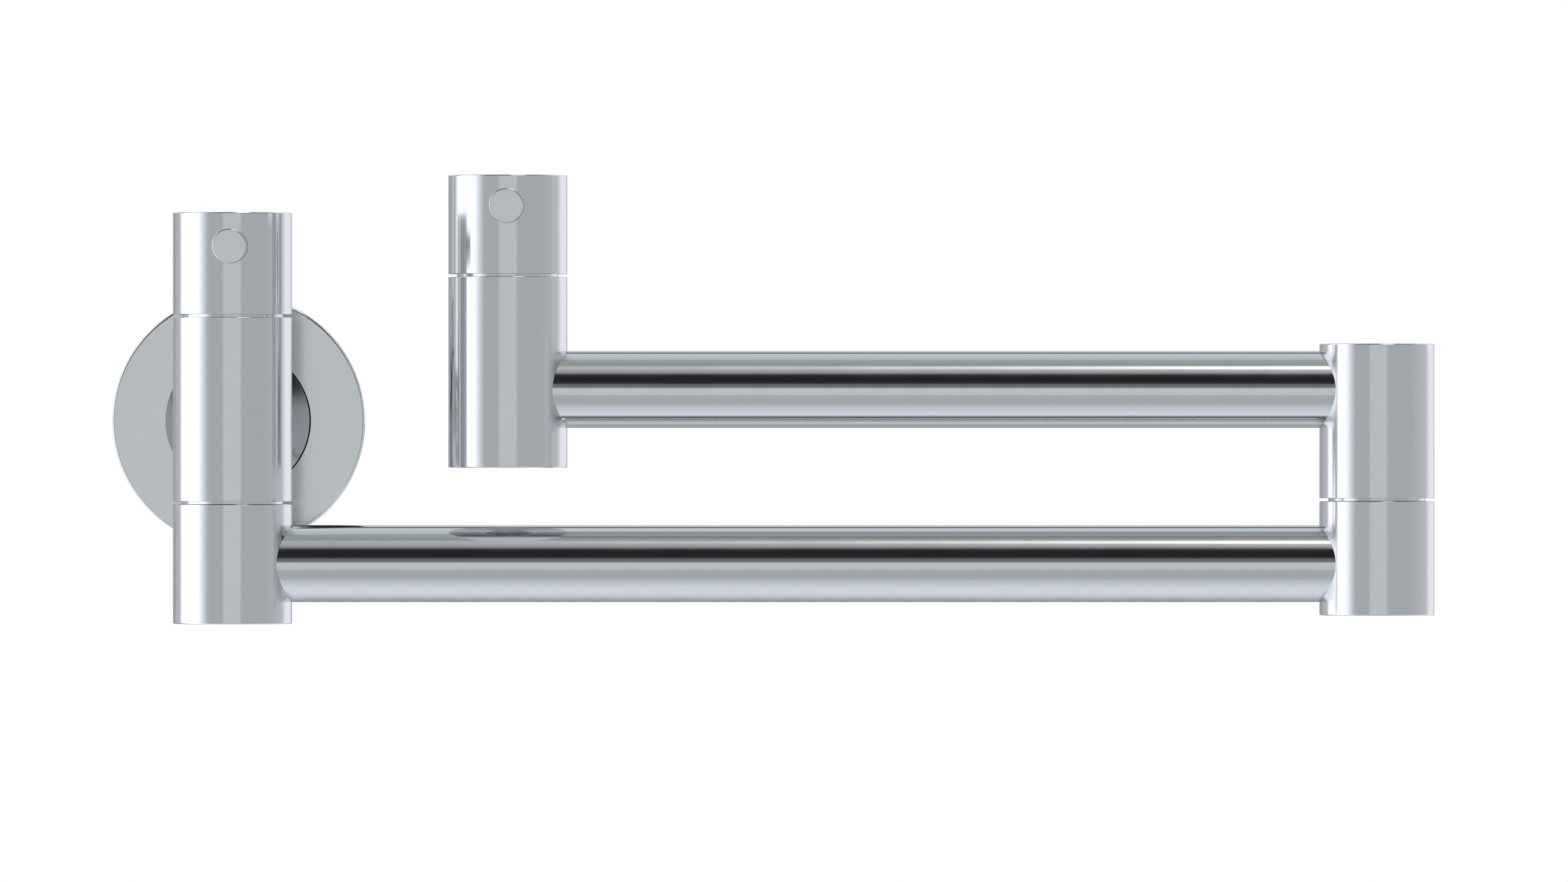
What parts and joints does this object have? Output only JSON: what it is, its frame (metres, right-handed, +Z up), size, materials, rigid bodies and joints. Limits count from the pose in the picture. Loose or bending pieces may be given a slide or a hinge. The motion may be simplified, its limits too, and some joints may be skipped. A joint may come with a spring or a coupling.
{
  "type": "wall mounted pot filler",
  "caption": "Folding wall tap of round chromed bars and straight tubes, with a lever valve at the wall and at the outlet and swivels at the wall and the elbow.",
  "frame": {"origin": "centre of the wall flange's back face, on the wall plane and on the axis of the inlet", "axes": "+Y into the wall along the inlet, +X to the right along the folded arms, +Z up along every swivel and valve axis"},
  "size_m": [0.3964, 0.09, 0.1337],
  "materials": {
    "chrome": "polished chrome plate on brass",
    "polished_ring": "polished, in the shadow gaps",
    "brass": "machined, unplated",
    "stainless": "stamped stainless steel",
    "ceramic": "lapped alumina",
    "rubber": "matt black rubber"
  },
  "bodies": {
    "wall_mount": {"wall_gasket": "rubber", "wall_flange": "chrome", "flange_o_ring": "rubber", "inlet_neck": "chrome", "neck_seal": "rubber", "wall_body": "chrome", "wall_valve_body": "brass", "wall_valve_seal": "rubber", "wall_fixed_disc": "ceramic", "wall_valve_o_ring": "rubber", "wall_bonnet_ring": "polished_ring", "wall_spindle": "brass", "wall_spindle_o_rings": "rubber", "wall_slip_ring": "polished_ring", "wall_spindle_washer": "stainless", "wall_spindle_nut": "brass"},
    "wall_knob": {"wall_knob": "chrome", "wall_lever": "chrome", "wall_knob_insert": "brass", "wall_stem": "brass", "wall_moving_disc": "ceramic", "wall_stem_o_ring": "rubber", "wall_stem_clip": "stainless"},
    "lower_arm": {"swivel_body": "chrome", "swivel_plug": "chrome", "lower_tube": "chrome", "lower_elbow": "chrome", "elbow_plug": "chrome"},
    "upper_arm": {"upper_elbow": "chrome", "elbow_spindle": "brass", "elbow_spindle_o_rings": "rubber", "elbow_slip_ring": "polished_ring", "elbow_spindle_washer": "stainless", "elbow_spindle_nut": "brass", "upper_tube": "chrome", "outlet_body": "chrome", "outlet_valve_body": "brass", "outlet_valve_seal": "rubber", "outlet_fixed_disc": "ceramic", "outlet_valve_o_ring": "rubber", "outlet_bonnet_ring": "polished_ring", "aerator_housing": "chrome", "aerator_screen": "stainless", "aerator_washer": "rubber"},
    "outlet_knob": {"outlet_knob": "chrome", "outlet_lever": "chrome", "outlet_knob_insert": "brass", "outlet_stem": "brass", "outlet_moving_disc": "ceramic", "outlet_stem_o_ring": "rubber", "outlet_stem_clip": "stainless"}
  },
  "joints": [
    {"name": "wall_knob_turn", "type": "hinge", "parent": "wall_mount", "child": "wall_knob", "pos_m": [0, -0.06, 0.047], "axis": [0, 0, 1], "range_deg": [0, 90]},
    {"name": "arm_swing", "type": "hinge", "parent": "wall_mount", "child": "lower_arm", "pos_m": [0, -0.06, -0.043], "axis": [0, 0, 1], "range_deg": [-180, 0]},
    {"name": "elbow_swing", "type": "hinge", "parent": "lower_arm", "child": "upper_arm", "pos_m": [0.3412, -0.06, -0.0236], "axis": [0, 0, 1], "continuous": true},
    {"name": "outlet_knob_turn", "type": "hinge", "parent": "upper_arm", "child": "outlet_knob", "pos_m": [0.0821, -0.06, 0.0584], "axis": [0, 0, 1], "range_deg": [0, 90]}
  ]
}
